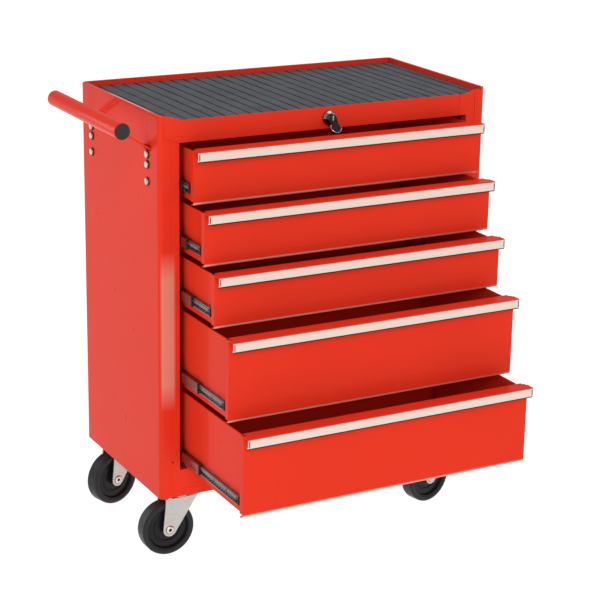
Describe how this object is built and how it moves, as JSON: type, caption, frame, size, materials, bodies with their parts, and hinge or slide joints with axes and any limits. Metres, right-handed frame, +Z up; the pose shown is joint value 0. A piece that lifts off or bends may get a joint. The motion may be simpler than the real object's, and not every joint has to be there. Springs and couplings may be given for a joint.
{
  "type": "tool cart",
  "caption": "Rolling tool cabinet with sliding drawers on ball slides, a ribbed rubber top, a tubular side push handle, a key lock and swivel casters.",
  "frame": {"origin": "on the floor under the middle of the cabinet body, midway between its sides and between its front and back", "axes": "+X to the cart's right as seen from the front, -Y out of the front where the drawers open, +Z up; the push handle is on the -X side"},
  "size_m": [0.6885, 0.5636, 0.7695],
  "materials": {
    "red_paint": "gloss",
    "zinc": "zinc plated",
    "pull_aluminium": "satin",
    "mat_rubber": "matte",
    "chrome": "polished",
    "lock_core": "satin",
    "black_plastic": "satin",
    "wheel_hub": "satin",
    "wheel_tyre": "satin"
  },
  "bodies": {
    "cabinet": {"side_left": "red_paint", "side_right": "red_paint", "back_panel": "red_paint", "top_panel": "red_paint", "top_mat": "mat_rubber", "front_frame": "red_paint", "fascia": "red_paint", "bottom_panel": "red_paint", "slide_uprights": "red_paint", "slide_rails": "zinc", "lock_housing": "chrome", "handle_bar": "red_paint", "handle_caps": "black_plastic", "handle_arms": "red_paint", "handle_bolts": "zinc", "caster_plates": "zinc"},
    "lock_cylinder": {"lock_plug": "lock_core", "key_blade": "zinc"},
    "key_bow": {"key_head": "black_plastic"},
    "drawer_1": {"drawer_1_box": "red_paint", "drawer_1_front": "red_paint", "drawer_1_pull": "pull_aluminium", "drawer_1_rails": "zinc"},
    "slide_middle_1": {"slide_mid_1": "zinc"},
    "drawer_2": {"drawer_2_box": "red_paint", "drawer_2_front": "red_paint", "drawer_2_pull": "pull_aluminium", "drawer_2_rails": "zinc"},
    "slide_middle_2": {"slide_mid_2": "zinc"},
    "drawer_3": {"drawer_3_box": "red_paint", "drawer_3_front": "red_paint", "drawer_3_pull": "pull_aluminium", "drawer_3_rails": "zinc"},
    "slide_middle_3": {"slide_mid_3": "zinc"},
    "drawer_4": {"drawer_4_box": "red_paint", "drawer_4_front": "red_paint", "drawer_4_pull": "pull_aluminium", "drawer_4_rails": "zinc"},
    "slide_middle_4": {"slide_mid_4": "zinc"},
    "drawer_5": {"drawer_5_box": "red_paint", "drawer_5_front": "red_paint", "drawer_5_pull": "pull_aluminium", "drawer_5_rails": "zinc"},
    "slide_middle_5": {"slide_mid_5": "zinc"},
    "caster_fl": {"caster_fl_fork": "zinc", "caster_fl_axle": "zinc"},
    "wheel_fl": {"caster_fl_hub": "wheel_hub", "caster_fl_tyre": "wheel_tyre"},
    "caster_fr": {"caster_fr_fork": "zinc", "caster_fr_axle": "zinc"},
    "wheel_fr": {"caster_fr_hub": "wheel_hub", "caster_fr_tyre": "wheel_tyre"},
    "caster_rl": {"caster_rl_fork": "zinc", "caster_rl_axle": "zinc"},
    "wheel_rl": {"caster_rl_hub": "wheel_hub", "caster_rl_tyre": "wheel_tyre"},
    "caster_rr": {"caster_rr_fork": "zinc", "caster_rr_axle": "zinc"},
    "wheel_rr": {"caster_rr_hub": "wheel_hub", "caster_rr_tyre": "wheel_tyre"}
  },
  "joints": [
    {"name": "drawer_1_slide", "type": "slide", "parent": "cabinet", "child": "drawer_1", "axis": [0, -1, 0], "range_m": [-0.046, 0.204]},
    {"name": "slide_middle_1_slide", "type": "slide", "parent": "cabinet", "child": "slide_middle_1", "axis": [0, -1, 0], "range_m": [-0.023, 0.102]},
    {"name": "drawer_2_slide", "type": "slide", "parent": "cabinet", "child": "drawer_2", "axis": [0, -1, 0], "range_m": [-0.085, 0.165]},
    {"name": "slide_middle_2_slide", "type": "slide", "parent": "cabinet", "child": "slide_middle_2", "axis": [0, -1, 0], "range_m": [-0.0425, 0.0825]},
    {"name": "drawer_3_slide", "type": "slide", "parent": "cabinet", "child": "drawer_3", "axis": [0, -1, 0], "range_m": [-0.122, 0.128]},
    {"name": "slide_middle_3_slide", "type": "slide", "parent": "cabinet", "child": "slide_middle_3", "axis": [0, -1, 0], "range_m": [-0.061, 0.064]},
    {"name": "drawer_4_slide", "type": "slide", "parent": "cabinet", "child": "drawer_4", "axis": [0, -1, 0], "range_m": [-0.173, 0.077]},
    {"name": "slide_middle_4_slide", "type": "slide", "parent": "cabinet", "child": "slide_middle_4", "axis": [0, -1, 0], "range_m": [-0.0865, 0.0385]},
    {"name": "drawer_5_slide", "type": "slide", "parent": "cabinet", "child": "drawer_5", "axis": [0, -1, 0], "range_m": [-0.226, 0.024]},
    {"name": "slide_middle_5_slide", "type": "slide", "parent": "cabinet", "child": "slide_middle_5", "axis": [0, -1, 0], "range_m": [-0.113, 0.012]},
    {"name": "lock_turn", "type": "hinge", "parent": "cabinet", "child": "lock_cylinder", "pos_m": [0, -0.16, 0.74155], "axis": [0, 1, 0], "range_deg": [0, 90]},
    {"name": "key_head_fold", "type": "hinge", "parent": "lock_cylinder", "child": "key_bow", "pos_m": [0, -0.177, 0.73755], "axis": [-1, 0, 0], "range_deg": [0, 47]},
    {"name": "caster_fl_swivel", "type": "hinge", "parent": "cabinet", "child": "caster_fl", "pos_m": [-0.2595, -0.122, 0.1017], "axis": [0, 0, 1], "continuous": true},
    {"name": "wheel_fl_roll", "type": "hinge", "parent": "caster_fl", "child": "wheel_fl", "pos_m": [-0.2815, -0.122, 0.0475], "axis": [0, 1, 0], "continuous": true},
    {"name": "caster_fr_swivel", "type": "hinge", "parent": "cabinet", "child": "caster_fr", "pos_m": [0.2595, -0.122, 0.1017], "axis": [0, 0, 1], "continuous": true},
    {"name": "wheel_fr_roll", "type": "hinge", "parent": "caster_fr", "child": "wheel_fr", "pos_m": [0.23798, -0.12657, 0.0475], "axis": [-0.2079, 0.9781, 0], "continuous": true},
    {"name": "caster_rl_swivel", "type": "hinge", "parent": "cabinet", "child": "caster_rl", "pos_m": [-0.2595, 0.122, 0.1017], "axis": [0, 0, 1], "continuous": true},
    {"name": "wheel_rl_roll", "type": "hinge", "parent": "caster_rl", "child": "wheel_rl", "pos_m": [-0.28065, 0.11594, 0.0475], "axis": [-0.2756, 0.9613, 0], "continuous": true},
    {"name": "caster_rr_swivel", "type": "hinge", "parent": "cabinet", "child": "caster_rr", "pos_m": [0.2595, 0.122, 0.1017], "axis": [0, 0, 1], "continuous": true},
    {"name": "wheel_rr_roll", "type": "hinge", "parent": "caster_rr", "child": "wheel_rr", "pos_m": [0.23771, 0.11894, 0.0475], "axis": [-0.1392, 0.9903, 0], "continuous": true}
  ],
  "couplings": [
    {"joint": "slide_middle_1_slide", "follows": "drawer_1_slide", "ratio": 0.5},
    {"joint": "slide_middle_2_slide", "follows": "drawer_2_slide", "ratio": 0.5},
    {"joint": "slide_middle_3_slide", "follows": "drawer_3_slide", "ratio": 0.5},
    {"joint": "slide_middle_4_slide", "follows": "drawer_4_slide", "ratio": 0.5},
    {"joint": "slide_middle_5_slide", "follows": "drawer_5_slide", "ratio": 0.5}
  ]
}
